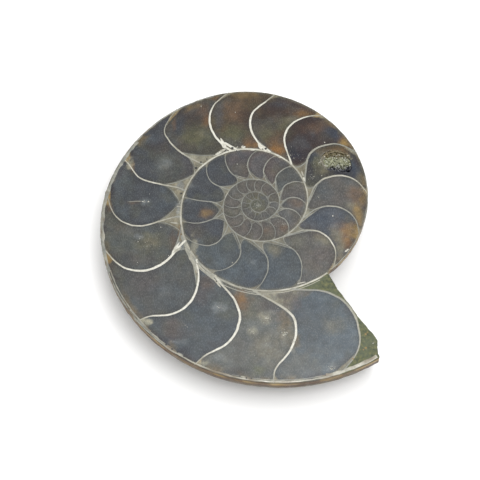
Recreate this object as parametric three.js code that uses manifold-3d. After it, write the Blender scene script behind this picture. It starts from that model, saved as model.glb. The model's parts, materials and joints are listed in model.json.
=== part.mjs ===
// Half of a cut and polished ammonite fossil, lying on its domed flank with the cut face up.
// Lengths are millimetres. Angles are degrees about the coil's pole, counter-clockwise seen from
// above the cut face, and they go on past a full turn: minus 360 is one whorl further in.
import * as THREE from "three";
import Module from "manifold-3d";

// The coil on the cut face: distance from the pole to the outer wall, every 30 degrees, from
// just past the broken aperture back to the start of the last whorl
const RIM_RADII = [66.6, 63.6, 60.0, 56.6, 53.3, 49.6, 45.4, 42.4, 40.5, 38.6, 37.1, 35.4, 33.4, 31.4];
const RIM_FIRST_ANGLE = 330;
const RIM_STEP = 30;
const WHORL_GROWTH = 2.2; // how many times wider the coil gets in one turn, inside the last whorl

// The broken aperture
const BREAK_ANGLE = 313.4; // where the last whorl ends against the whorl before it
const LEAN_SPAN = 20; // the stretch before the break that its slant draws back
// How far the break slants back, in degrees, at these shares of the outer radius
const LEAN_SHARES = [0.5, 0.53, 0.555, 0.67, 0.75, 0.9, 0.925, 0.96, 1.0];
const LEAN_ANGLES = [0, -1.2, -2.2, -3.1, -4.1, -4.1, -4.7, -6.2, -7.5];
const BREAK_ROUGHNESS = 0.9;

// The whorl's half section, as shares of its outer radius
const HALF_THICKNESS = 14.6; // from the cut face to the flank, at the aperture
const THICKNESS_POWER = 0.8; // below 1, so that the younger whorls are a little plumper
const CREST_SHARE = 0.6; // where the flank is furthest from the cut face
const SEAM_SHARE = 0.24; // where it meets the whorl before it, in the umbilicus
const VENTER_POWER = 3.4; // 2 is an ellipse, and more is squarer
const FLANK_FALL = 0.04; // how much the flank falls from the crest to the umbilical shoulder
const SHOULDER_SHARE = 0.36;

// Low folds across the outer flank
const FOLDS_PER_WHORL = 26;
const FOLD_HEIGHT = 0.35;
const FOLD_SWEEP = 9; // degrees that a fold leans forward towards the rim

// The crystal-lined pocket in the cut face: its mouth, counter-clockwise
const POCKET_MOUTH = [
  [21.9, 12.9], [24.4, 12.2], [27.3, 11.5], [29.9, 11.5], [30.6, 13.6], [29.7, 16.5],
  [28.1, 18.6], [25.5, 19.3], [22.9, 19.0], [21.0, 17.5], [20.3, 15.8],
];
const POCKET_CENTRE = [25.6, 15.3];
const POCKET_DEPTH = 2.6;
// Going down: the size of the outline there, and the share of the pocket's depth
const POCKET_STEPS = [[0.9, 0.45], [0.68, 0.82], [0.38, 0.97]];
const CRUST_GAP = 0.3; // between the crust and the pocket's wall
const CRUST_NARROWING = 0.075; // how much smaller the crust's outline is than the pocket's
const CRUST_THICKNESS = 0.9;
const CRYSTAL_RINGS = [[1, 0.0], [6, 0.3], [10, 0.54], [15, 0.74]]; // crystals in each ring, and its size
const CRYSTAL_RADIUS = 0.68;
const CRYSTAL_HEIGHT = 1.2;
const CRYSTAL_LEAN = 0.3; // towards the pocket's middle, per unit of height

// The rest: the half leans on three places of its flank, so its cut face isn't quite level
const REST_TILT = 2.6;
const REST_TILT_TOWARDS = 130; // the side that sinks

// How finely the body is faceted
const COLUMNS = 144;
const VENTER_ROWS = 8;
const BAND_SHARES = [0, 0.28, 0.52, 0.72, 0.87, 1];
const INNER_BANDS = 2;
const BREAK_STATIONS = 16;
const BREAK_LAYERS = 3;
const POCKET_SIDES = 18;

const UP = new THREE.Vector3(0, 0, 1);
const radians = THREE.MathUtils.degToRad;

// The outer wall's radius: a smooth curve through the chosen radii, and a plain spiral further in
const rimAngles = RIM_RADII.map((_, i) => RIM_FIRST_ANGLE - i * RIM_STEP).reverse();
const rimCurve = new THREE.CubicInterpolant(rimAngles, [...RIM_RADII].reverse(), 1);
const INNERMOST_MEASURED = rimAngles[0];

function rimRadius(angle) {
  if (angle >= INNERMOST_MEASURED) return rimCurve.evaluate(angle)[0];
  const turnsFurtherIn = (INNERMOST_MEASURED - angle) / 360;
  return RIM_RADII.at(-1) / WHORL_GROWTH ** turnsFurtherIn;
}

const APERTURE_RADIUS = rimRadius(BREAK_ANGLE);

function crestDepth(angle) {
  return HALF_THICKNESS * (rimRadius(angle) / APERTURE_RADIUS) ** THICKNESS_POWER;
}

// The share of a whorl's own radius at which the next whorl out covers it
function coveredShare(angle) {
  return (SEAM_SHARE * rimRadius(angle + 360)) / rimRadius(angle);
}

const START_ANGLE = BREAK_ANGLE - 360;
const COVERED_AT_START = coveredShare(START_ANGLE);

// How far the flank lies below the cut face between the crest and the umbilical shoulder
function flankDepth(share, angle) {
  const inward = (CREST_SHARE - share) / (CREST_SHARE - SHOULDER_SHARE);
  return crestDepth(angle) * (1 - FLANK_FALL * inward ** 2);
}

function foldHeight(share, angle) {
  const rise = THREE.MathUtils.smoothstep(share, 0.54, 0.7);
  const fade = rise * (1 - THREE.MathUtils.smoothstep(share, 0.9, 0.97));
  const swept = angle - FOLD_SWEEP * ((share - CREST_SHARE) / (1 - CREST_SHARE)) ** 2;
  const size = FOLD_HEIGHT * (rimRadius(angle) / APERTURE_RADIUS);
  return size * fade * Math.cos(radians(swept * FOLDS_PER_WHORL));
}

// How far the surface lies below the cut face at a share of the outer radius
function sectionDepth(share, angle) {
  if (share >= CREST_SHARE) {
    const outward = (share - CREST_SHARE) / (1 - CREST_SHARE);
    const venter = Math.max(0, 1 - outward ** VENTER_POWER) ** (1 / VENTER_POWER);
    return crestDepth(angle) * venter + (share < 1 ? foldHeight(share, angle) : 0);
  }
  if (share >= SHOULDER_SHARE) return flankDepth(share, angle) + foldHeight(share, angle);
  const shoulder = flankDepth(SHOULDER_SHARE, angle);
  const earlier = angle - 360;
  const seam = flankDepth(coveredShare(earlier), earlier);
  const drop = (SHOULDER_SHARE - share) / (SHOULDER_SHARE - SEAM_SHARE);
  return THREE.MathUtils.lerp(shoulder, seam, drop ** 1.8);
}

// A list of shares and values as a line of straight pieces
function alongTable(shares, values, share) {
  if (share <= shares[0]) return values[0];
  const next = shares.findIndex((s) => s >= share);
  const part = (share - shares[next - 1]) / (shares[next] - shares[next - 1]);
  return THREE.MathUtils.lerp(values[next - 1], values[next], part);
}

function leanedAngle(share, angle) {
  const near = THREE.MathUtils.clamp((angle - (BREAK_ANGLE - LEAN_SPAN)) / LEAN_SPAN, 0, 1);
  return angle + near * alongTable(LEAN_SHARES, LEAN_ANGLES, share);
}

function pointAt(share, angle, depth) {
  const radius = share * rimRadius(angle);
  return new THREE.Vector3(radius * Math.cos(radians(angle)), radius * Math.sin(radians(angle)), -depth);
}

function surfacePoint(share, angle) {
  const leaned = leanedAngle(share, angle);
  return pointAt(share, leaned, sectionDepth(share, leaned));
}

// The shares of the rows, from the rim on the cut face down the venter to the crest and inwards
function outerShares() {
  const shares = [];
  for (let i = 0; i < VENTER_ROWS; i++) {
    const turn = (i / VENTER_ROWS) * (Math.PI / 2);
    shares.push(CREST_SHARE + (1 - CREST_SHARE) * Math.cos(turn) ** (2 / VENTER_POWER));
  }
  shares.push(CREST_SHARE);
  shares.push((CREST_SHARE + COVERED_AT_START) / 2);
  return shares;
}

// One column of the underside: the last whorl, then what shows of the whorls inside it
function column(angle) {
  const points = outerShares().map((share) => surfacePoint(share, angle));
  for (const t of BAND_SHARES) {
    points.push(surfacePoint(THREE.MathUtils.lerp(COVERED_AT_START, SEAM_SHARE, t), angle));
  }
  for (let band = 1; band <= INNER_BANDS; band++) {
    const inner = angle - 360 * band;
    for (const t of BAND_SHARES.slice(1)) {
      const share = THREE.MathUtils.lerp(coveredShare(inner), SEAM_SHARE, t);
      points.push(pointAt(share, inner, sectionDepth(share, inner)));
    }
  }
  return points;
}

const triangles = [];

function face(a, b, c) {
  if (a !== b && b !== c && c !== a) triangles.push(a, b, c);
}

// Fills the strip between two lines of points that run the same way, stepping along the one
// that is behind
function zip(left, right) {
  let i = 0;
  let j = 0;
  while (i < left.length - 1 || j < right.length - 1) {
    const stepLeft = (i + 1) / (left.length - 1) <= (j + 1) / (right.length - 1);
    if (j === right.length - 1 || (i < left.length - 1 && stepLeft)) {
      face(left[i], left[i + 1], right[j]);
      i++;
    } else {
      face(left[i], right[j + 1], right[j]);
      j++;
    }
  }
}

// A line of points read at an even share of its length
function along(points, share) {
  const lengths = [0];
  for (let i = 1; i < points.length; i++) {
    lengths.push(lengths[i - 1] + points[i].distanceTo(points[i - 1]));
  }
  const wanted = share * lengths.at(-1);
  const next = Math.max(1, lengths.findIndex((l) => l >= wanted - 1e-9));
  const part = (wanted - lengths[next - 1]) / (lengths[next] - lengths[next - 1]);
  return points[next - 1].clone().lerp(points[next], part);
}

// The hackly broken rock: waves of three sizes that don't line up
function roughness(p) {
  const coarse = Math.sin(0.31 * p.x + 0.42 * p.z) * Math.cos(0.27 * p.y - 0.35 * p.z);
  const middle = Math.sin(0.9 * p.y + 1.1 * p.z + 1) * Math.cos(0.8 * p.x - 0.7 * p.z);
  const fine = Math.sin(2.3 * p.x - 1.9 * p.z) * Math.sin(2.1 * p.y + 1.7 * p.z);
  return BREAK_ROUGHNESS * (0.9 * coarse + 0.5 * middle + 0.3 * fine);
}

// The underside, column by column round the pole, and the fan that closes its middle. Inside the
// seam, the last column is the first one over again, one whorl further in.
const columns = Array.from({ length: COLUMNS + 1 }, (_, i) => column(START_ANGLE + (360 * i) / COLUMNS));
const bandRows = BAND_SHARES.length - 1;
const coveredRow = outerShares().length;
const seamRow = coveredRow + bandRows;
for (let row = seamRow; row < columns[COLUMNS].length; row++) {
  columns[COLUMNS][row] = columns[0][row - bandRows];
}
const middle = new THREE.Vector3(0, 0, columns[0].at(-1).z);
for (let i = 0; i < COLUMNS; i++) {
  const here = columns[i];
  const there = columns[i + 1];
  for (let row = 0; row < here.length - 1; row++) {
    face(here[row], here[row + 1], there[row + 1]);
    face(here[row], there[row + 1], there[row]);
  }
  // The last step of the fan meets one more band of rows on its far side
  const far = i === COLUMNS - 1 ? [there.at(-1), ...columns[0].slice(-bandRows)] : [there.at(-1)];
  [...far, middle].reduce((a, b) => {
    face(here.at(-1), b, a);
    return b;
  });
}

// The broken face, from the last whorl's section to the break's edge on the cut face and the
// outer wall of the whorl inside it
const rim = columns.map((points) => points[0]);
const breakEdge = LEAN_SHARES.slice(1, -1).reverse().map((share) => {
  return pointAt(share, leanedAngle(share, BREAK_ANGLE), 0);
});
const outerSection = columns[COLUMNS].slice(0, seamRow + 1);
const upperLine = [rim[COLUMNS], ...breakEdge, ...columns[0].slice(0, coveredRow + 1)];
const across = new THREE.Vector3(-Math.sin(radians(BREAK_ANGLE)), Math.cos(radians(BREAK_ANGLE)), 0);
let previous = outerSection;
for (let layer = 1; layer <= BREAK_LAYERS; layer++) {
  const next = [outerSection[0]];
  for (let i = 1; i < BREAK_STATIONS; i++) {
    const share = i / BREAK_STATIONS;
    const p = along(outerSection, share).lerp(along(upperLine, share), layer / (BREAK_LAYERS + 1));
    p.addScaledVector(across, roughness(p) * Math.sin(Math.PI * share) ** 0.5);
    next.push(p);
  }
  next.push(outerSection.at(-1));
  zip(previous, next);
  previous = next;
}
zip(previous, upperLine);

// The pocket, as rings of its mouth's outline that shrink as they go down
const mouthPoints = POCKET_MOUTH.map(([x, y]) => new THREE.Vector3(x, y, 0));
const mouthCurve = new THREE.CatmullRomCurve3(mouthPoints, true);
const mouth = mouthCurve.getSpacedPoints(POCKET_SIDES).slice(0, -1);
const pocketMiddle = new THREE.Vector3(...POCKET_CENTRE, 0);

function pocketRing(size, depth) {
  return mouth.map((p) => pocketMiddle.clone().lerp(p, size).setZ(-depth));
}

const pocketRings = POCKET_STEPS.map(([size, depth]) => pocketRing(size, depth * POCKET_DEPTH));
[mouth, ...pocketRings].reduce((upperRing, lowerRing) => {
  upperRing.forEach((a, i) => {
    const next = (i + 1) % POCKET_SIDES;
    face(a, lowerRing[next], lowerRing[i]);
    face(a, upperRing[next], lowerRing[next]);
  });
  return lowerRing;
});
const pocketFloor = pocketMiddle.clone().setZ(-POCKET_DEPTH);
pocketRings.at(-1).forEach((a, i, ring) => face(a, ring[(i + 1) % POCKET_SIDES], pocketFloor));

// The polished cut face, with the pocket's mouth left open
const outline = [...rim, ...breakEdge];
const faceCorners = [...outline, ...mouth];
const flat = (p) => new THREE.Vector2(p.x, p.y);
const turnsLeft = (a, b, c) => flat(b).sub(flat(a)).cross(flat(c).sub(flat(a))) > 0;
for (const corners of THREE.ShapeUtils.triangulateShape(outline.map(flat), [mouth.map(flat)])) {
  const [a, b, c] = corners.map((i) => faceCorners[i]);
  if (turnsLeft(a, b, c)) face(a, b, c);
  else face(a, c, b);
}

function geometryOf(points) {
  const geometry = new THREE.BufferGeometry().setFromPoints(points);
  geometry.computeVertexNormals();
  return geometry;
}

// The crystal crust: a thin bowl that follows the pocket, with pointed crystals standing on it
const wasm = await Module();
wasm.setup();

function solidOf(vertices, faces) {
  return new wasm.Manifold(
    new wasm.Mesh({
      numProp: 3,
      vertProperties: new Float32Array(vertices.flatMap((v) => v.toArray())),
      triVerts: new Uint32Array(faces.flat()),
    }),
  );
}

// A closed solid made of rings, from the middle of its underside round its edge to its top's middle
function ringSolid(bottom, rings, top) {
  const vertices = [bottom, ...rings.flat(), top];
  const faces = [];
  const n = POCKET_SIDES;
  const lastRing = vertices.length - 1 - n;
  for (let i = 0; i < n; i++) {
    const next = (i + 1) % n;
    faces.push([0, 1 + next, 1 + i]);
    faces.push([lastRing + i, lastRing + next, vertices.length - 1]);
    for (let ring = 1; ring < lastRing; ring += n) {
      faces.push([ring + i, ring + next, ring + n + next], [ring + i, ring + n + next, ring + n + i]);
    }
  }
  return solidOf(vertices, faces);
}

function crustRings(narrowing, height) {
  return POCKET_STEPS.map(([size, depth]) => pocketRing(size - narrowing, depth * POCKET_DEPTH - height));
}

const crustFloor = crustRings(CRUST_NARROWING, CRUST_GAP).reverse();
const crustRoof = crustRings(1.5 * CRUST_NARROWING, CRUST_GAP + CRUST_THICKNESS);
const crustBottom = pocketFloor.clone().setZ(pocketFloor.z + CRUST_GAP);
const crustTop = crustBottom.clone().setZ(crustBottom.z + CRUST_THICKNESS);
let crust = ringSolid(crustBottom, [...crustFloor, ...crustRoof], crustTop);

// One pointed crystal with six sides, leaning towards the pocket's middle
function crystal(foot, towardsMiddle, size, turn) {
  const axis = UP.clone().addScaledVector(towardsMiddle, CRYSTAL_LEAN).normalize();
  const stand = new THREE.Quaternion().setFromUnitVectors(UP, axis);
  const ring = (radius, height) =>
    Array.from({ length: 6 }, (_, i) => {
      const a = turn + (i * Math.PI) / 3;
      return new THREE.Vector3(radius * Math.cos(a), radius * Math.sin(a), height);
    });
  const radius = CRYSTAL_RADIUS * size;
  const height = CRYSTAL_HEIGHT * size;
  const vertices = [
    new THREE.Vector3(0, 0, 0),
    ...ring(radius, 0),
    ...ring(radius * 0.92, height * 0.45),
    new THREE.Vector3(0, 0, height),
  ].map((v) => v.applyQuaternion(stand).add(foot));
  const faces = [];
  for (let i = 0; i < 6; i++) {
    const next = (i + 1) % 6;
    faces.push([0, 1 + next, 1 + i]);
    faces.push([1 + i, 1 + next, 7 + next], [1 + i, 7 + next, 7 + i]);
    faces.push([7 + i, 7 + next, 13]);
  }
  return solidOf(vertices, faces);
}

for (const [count, size] of CRYSTAL_RINGS) {
  for (let i = 0; i < count; i++) {
    const foot = pocketMiddle.clone().lerp(mouthCurve.getPointAt((i + size) / count % 1), size);
    const towardsMiddle = pocketMiddle.clone().sub(foot).normalize();
    foot.z = crustBottom.z + 0.4 * CRUST_THICKNESS + 0.7 * POCKET_DEPTH * size ** 2;
    const uneven = 0.84 + 0.16 * Math.sin(7.3 * i + 5 * size);
    crust = crust.add(crystal(foot, towardsMiddle, uneven, 2.1 * i));
  }
}

function geometryOfSolid(solid) {
  const mesh = solid.getMesh();
  const geometry = new THREE.BufferGeometry();
  geometry.setAttribute("position", new THREE.BufferAttribute(new Float32Array(mesh.vertProperties), 3));
  geometry.setIndex(new THREE.BufferAttribute(new Uint32Array(mesh.triVerts), 1));
  return geometry;
}

const half = new THREE.Mesh(
  geometryOf(triangles),
  new THREE.MeshStandardMaterial({ color: 0x62636a, roughness: 0.25, metalness: 0, flatShading: true }),
);
half.name = "ammonite_half";

const crystals = new THREE.Mesh(
  geometryOfSolid(crust),
  new THREE.MeshStandardMaterial({ color: 0xb4b28a, roughness: 0.2, metalness: 0, flatShading: true }),
);
crystals.name = "vug_crystals";

// The half is tilted as it rests, and moved so that the origin is at the middle of its base
const fossil = new THREE.Group();
fossil.add(half, crystals);
const sinking = new THREE.Vector3(1, 0, 0).applyAxisAngle(UP, radians(REST_TILT_TOWARDS));
const tiltAxis = UP.clone().cross(sinking);
fossil.quaternion.setFromAxisAngle(tiltAxis, radians(REST_TILT));
fossil.updateMatrixWorld(true);
const bounds = new THREE.Box3().setFromObject(fossil, true);
const base = bounds.getCenter(new THREE.Vector3()).setZ(bounds.min.z);
fossil.position.copy(base).negate();

const part = new THREE.Group();
part.add(fossil);
export default part;
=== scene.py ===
# A sawn and polished ammonite half, lying on its domed flank with the chambered cut face up.
import json
import math

import bpy
import numpy as np
from mathutils import Matrix, Vector, kdtree, noise


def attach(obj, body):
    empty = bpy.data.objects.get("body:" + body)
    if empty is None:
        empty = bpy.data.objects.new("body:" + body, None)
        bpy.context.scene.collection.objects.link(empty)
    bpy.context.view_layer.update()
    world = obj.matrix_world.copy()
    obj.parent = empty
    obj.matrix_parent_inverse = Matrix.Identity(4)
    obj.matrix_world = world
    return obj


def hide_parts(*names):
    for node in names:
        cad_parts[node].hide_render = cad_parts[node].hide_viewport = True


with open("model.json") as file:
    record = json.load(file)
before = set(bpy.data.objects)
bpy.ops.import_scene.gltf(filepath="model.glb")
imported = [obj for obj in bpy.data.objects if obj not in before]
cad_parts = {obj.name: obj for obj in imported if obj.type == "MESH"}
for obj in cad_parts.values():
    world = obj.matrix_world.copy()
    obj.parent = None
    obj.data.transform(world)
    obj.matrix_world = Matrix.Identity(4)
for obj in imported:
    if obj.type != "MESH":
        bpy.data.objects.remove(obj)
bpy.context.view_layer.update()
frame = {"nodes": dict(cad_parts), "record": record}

bpy.ops.object.select_all(action="DESELECT")

# Where the fossil lies. All shapes below are in millimetres about the coil's pole, with the
# cut face at height 0, and settle() lays each finished piece where the frame has it.
FACE_MOUNT = frame["record"]["mounts"][0]
POLE = Vector(FACE_MOUNT["pos_m"])
LEAN = Vector((0, 0, 1)).rotation_difference(Vector(FACE_MOUNT["axis"]))
MILLIMETRE = 0.001
SETTLE = Matrix.Translation(POLE) @ LEAN.to_matrix().to_4x4() @ Matrix.Scale(MILLIMETRE, 4)

# The coil. Outer wall radii go inwards from the aperture: every 30 degrees round the last
# whorl, then every 45 degrees down to the first chambers.
RIM_START = 360
RIM_STEP = 30
RIM_RADII = (69.4, 66.6, 63.6, 60, 56.6, 53.3, 49.6, 45.4, 42.4, 40.5, 38.6, 37.1, 35.4, 33.4, 31.4)
WALL_START = -90
WALL_STEP = 45
WALL_RADII = (29.6, 27.1, 24.3, 22, 19.5, 17.7, 15.95, 14.1, 12.7, 11.9, 10.85, 9.95, 8.85, 7.9, 7.05,
              6.1, 5.8, 5.5, 5.15, 4.95, 4.35, 4, 3.45, 3, 2.7, 2.45, 2.2, 1.95, 1.7, 1.45, 1.2)
MOUTH_LIMIT = 346
LAPS = range(-5, 2)
LEAST_HEIGHT = 0.1

# Septa of the last whorl, from the aperture inwards: the angle of each at these shares of the
# way from the inner wall to the outer wall.
STATIONS = (0, 0.1, 0.25, 0.45, 0.65, 0.85, 1)
LAST_WHORL = (
    (290, 302, 308, 309, 306.5, 301.5, 293.5),
    (267, 277, 285, 285.5, 281.5, 275.5, 274.5),
    (241, 253.5, 260.5, 261.5, 258.5, 252.5, 250),
    (224.5, 232, 236.5, 237.5, 234.5, 228.5, 226.5),
    (208.5, 210.5, 213.5, 214, 211.5, 205, 195.5),
    (189, 189.5, 190.5, 191.5, 189.5, 183.5, 174),
    (168, 167, 167, 167, 166, 161.5, 159),
    (140.5, 142, 143, 143, 141.5, 137.5, 127.5),
    (114, 117, 119, 119, 116.5, 111, 103),
    (81.5, 88, 93, 94.5, 92, 85.5, 81.5),
    (52, 60.5, 68, 70, 67.5, 62, 56),
    (27.5, 36.5, 44.5, 46.5, 43.5, 38, 29.5),
    (3.5, 16, 22, 22.5, 20, 14, 5.5),
    (-19, -8, -2.5, -1.5, -4, -10, -18.5),
    (-49.5, -35, -27.5, -26, -29, -35, -43),
)

# Septa of the inner whorls: the angle at the inner wall, at the foremost point and at the
# outer wall. The foremost point is at APEX_SHARE of the way across.
APEX_SHARE = 0.4
INNER_BEND = 2.6
OUTER_BEND = 1.7
SECOND_WHORL = (
    (-71, -53.5, -67), (-98.5, -80.5, -92), (-126, -107.5, -124), (-143, -134, -155), (-165.5, -160, -167),
    (-174, -184, -186.5), (-209.5, -207.5, -223), (-246, -233, -241), (-263.5, -257, -271),
    (-294, -279.5, -290), (-320, -301.5, -310), (-344.5, -323, -333.5), (-363.5, -347, -361),
    (-375, -368.5, -380), (-394, -390.5, -406.5),
)
THIRD_WHORL = (
    (-424, -416, -427.5), (-451, -439, -451.5), (-467.5, -464, -471.5), (-495.5, -487, -498.5),
    (-511.5, -508.5, -524.5), (-534, -531.5, -541), (-558, -554.5, -563), (-584, -578, -588.5),
    (-606, -602, -611), (-627, -621.5, -631), (-650.5, -643.5, -652), (-687, -681, -689),
    (-713.5, -710, -717), (-737, -730.5, -741),
)
CORE_SEPTA = 9
CORE_START = -762
CORE_STEP = 29
CORE_LAG = 5

# The cut face is modelled this finely, and lies this far under the frame's own face, so that
# thin inlaid lines can show a hair above it.
FACE_CELL = 0.4
FACE_DEPTH = 0.005
FACE_CENTRE = (-6.2, -9.8)
FACE_REACH = 104
LINE_BULGE = 0.07


# Colours are given as they look on the polished stone, 0 to 255, under lights this strong and
# with this much white sheen on top. seen() takes both off again.
LIGHTING = 1.36
SHEEN = 0.04
DARKEST = 0.004


def screen(red, green, blue):
    """A colour of a screen, 0 to 255, as the light values that Blender mixes."""
    shares = np.array((red, green, blue)) / 255
    return np.where(shares > 0.04045, ((shares + 0.055) / 1.055) ** 2.4, shares / 12.92)


def seen(red, green, blue):
    """The paint that looks this colour on the stone."""
    return np.maximum(screen(red, green, blue) - SHEEN, DARKEST) / LIGHTING


COLOURS = {
    "steel": seen(97, 106, 112), "pale grey": seen(108, 110, 106), "slate": seen(86, 92, 96),
    "stone grey": seen(92, 94, 93), "deep slate": seen(81, 84, 88), "umber": seen(87, 85, 78),
    "brown": seen(91, 81, 69), "maroon": seen(71, 62, 60), "warm grey": seen(105, 103, 99),
    "dusk": seen(92, 97, 104), "olive": seen(99, 99, 80), "mauve": seen(98, 92, 91),
    "ink": seen(54, 60, 68), "night": seen(70, 78, 90), "tan": seen(132, 128, 112),
    "pale tan": seen(160, 157, 140), "amber": seen(138, 110, 76), "orange": seen(154, 110, 66),
    "rust": seen(112, 93, 78), "haze": seen(132, 137, 139), "cream": seen(242, 240, 228),
    "shell grey": seen(150, 152, 146), "beige": seen(190, 187, 172), "moss": seen(104, 108, 82),
    "earth": seen(112, 90, 62), "dark earth": seen(70, 58, 44), "golden": seen(156, 132, 86),
    "ochre": seen(200, 170, 112), "bark": seen(104, 76, 48), "pit": seen(54, 52, 50),
}


def smooth_table(knots, values, at):
    """Cubic curve through a table, whose slope at each knot comes from its neighbours."""
    knots = np.asarray(knots, float)
    values = np.asarray(values, float)
    slopes = np.gradient(values, knots)
    place = np.clip(np.searchsorted(knots, at) - 1, 0, len(knots) - 2)
    width = knots[place + 1] - knots[place]
    s = (at - knots[place]) / width
    start = (1 + 2 * s) * (1 - s) ** 2 * values[place] + s * (1 - s) ** 2 * width * slopes[place]
    end = s ** 2 * (3 - 2 * s) * values[place + 1] - s ** 2 * (1 - s) * width * slopes[place + 1]
    return start + end


COIL_ANGLES = np.concatenate([
    RIM_START - RIM_STEP * np.arange(len(RIM_RADII)),
    WALL_START - WALL_STEP * np.arange(len(WALL_RADII)),
])[::-1]
COIL_LOGS = np.log(np.concatenate([RIM_RADII, WALL_RADII]))[::-1]
COIL_END = COIL_ANGLES[0]


def wall_radius(angle):
    """Radius of the coil's wall at an angle that carries on below 0 for the inner whorls."""
    return np.exp(smooth_table(COIL_ANGLES, COIL_LOGS, np.clip(angle, COIL_END, RIM_START)))


def place_at(angle, share):
    """The point of the cut face at an angle of the coil, share of the way across its whorl."""
    inner = wall_radius(angle - 360)
    radius = inner + (wall_radius(angle) - inner) * share
    turn = np.radians(angle)
    return radius * np.cos(turn), radius * np.sin(turn)


def locate(x, y):
    """The coil's angle and the share across the whorl at points of the cut face."""
    radius = np.hypot(x, y)
    turn = np.degrees(np.arctan2(y, x))
    angle = np.full(len(x), np.nan)
    for lap in LAPS:
        here = turn + 360 * lap
        inside = np.isnan(angle) & (radius <= wall_radius(here)) & (here > COIL_END) & (here < MOUTH_LIMIT)
        angle = np.where(inside, here, angle)
    outermost = np.where(turn + 360 < MOUTH_LIMIT, turn + 360, turn)
    angle = np.where(np.isnan(angle), outermost, angle)
    angle = np.where(radius < wall_radius(COIL_END), COIL_END, angle)
    inner = wall_radius(angle - 360)
    return angle, (radius - inner) / np.maximum(wall_radius(angle) - inner, LEAST_HEIGHT)


SHARES = np.linspace(0, 1, 41)


def inner_septum(dorsal, apex, ventral):
    """A septum's angles across its whorl: it bows forward from both of its ends."""
    rise = np.clip((APEX_SHARE - SHARES) / APEX_SHARE, 0, 1) ** INNER_BEND
    fall = np.clip((SHARES - APEX_SHARE) / (1 - APEX_SHARE), 0, 1) ** OUTER_BEND
    return apex - (apex - dorsal) * rise - (apex - ventral) * fall


SEPTA = [smooth_table(STATIONS, row, SHARES) for row in LAST_WHORL]
SEPTA += [inner_septum(*row) for row in SECOND_WHORL + THIRD_WHORL]
for step in range(CORE_SEPTA):
    apex_angle = CORE_START - CORE_STEP * step
    SEPTA.append(inner_septum(apex_angle - CORE_LAG, apex_angle, apex_angle - CORE_LAG))
LAST_COUNT = len(LAST_WHORL)
SECOND_COUNT = LAST_COUNT + len(SECOND_WHORL)
THIRD_COUNT = SECOND_COUNT + len(THIRD_WHORL)


def ripple(x, y, size, seed, octaves=3):
    """Smooth noise over the cut face, about -1 to 1, with lumps of the given size."""
    return np.array([
        noise.fractal(Vector((px / size, py / size, seed)), 1, 2, octaves) for px, py in zip(x, y)
    ])


def fade(low, high, value):
    """0 below low, 1 above high and smooth between, or the other way round if low > high."""
    s = np.clip((value - low) / (high - low), 0, 1)
    return s * s * (3 - 2 * s)


# Working with meshes
def use_only(piece):
    """Selects one object and makes it the active one."""
    bpy.ops.object.select_all(action="DESELECT")
    piece.select_set(True)
    bpy.context.view_layer.objects.active = piece


def corners_of(mesh):
    """A mesh's vertices as rows of x, y and z."""
    flat = np.empty(len(mesh.vertices) * 3)
    mesh.vertices.foreach_get("co", flat)
    return flat.reshape(-1, 3)


def set_corners(mesh, corners):
    """Moves a mesh's vertices to the given rows of x, y and z."""
    mesh.vertices.foreach_set("co", np.ascontiguousarray(corners, float).ravel())
    mesh.update()


def colour_mesh(mesh, colours, name="stain"):
    """Stores one colour for each vertex, which the finishes read by the layer's name."""
    layer = mesh.color_attributes.new(name, "FLOAT_COLOR", "POINT")
    full = np.ones((len(mesh.vertices), 4))
    full[:, :3] = colours
    layer.data.foreach_set("color", full.ravel())


def settle(piece, replaced=None):
    """Lays a finished piece in the frame under the root body, and hides the frame's part it replaces."""
    piece.data.transform(SETTLE)
    piece.matrix_world = Matrix.Identity(4)
    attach(piece, "root")
    if replaced:
        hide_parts(replaced)
    return piece


# Finishes
STONE_IOR = 1.5
CRYSTAL_IOR = 1.54


class Wire:
    """A socket of a finish, whose arithmetic adds Math nodes."""

    def __init__(self, finish, socket):
        self.finish = finish
        self.socket = socket

    def __add__(self, other):
        return self.finish.maths("ADD", self, other)

    def __mul__(self, other):
        return self.finish.maths("MULTIPLY", self, other)

    __radd__ = __add__
    __rmul__ = __mul__


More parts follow.
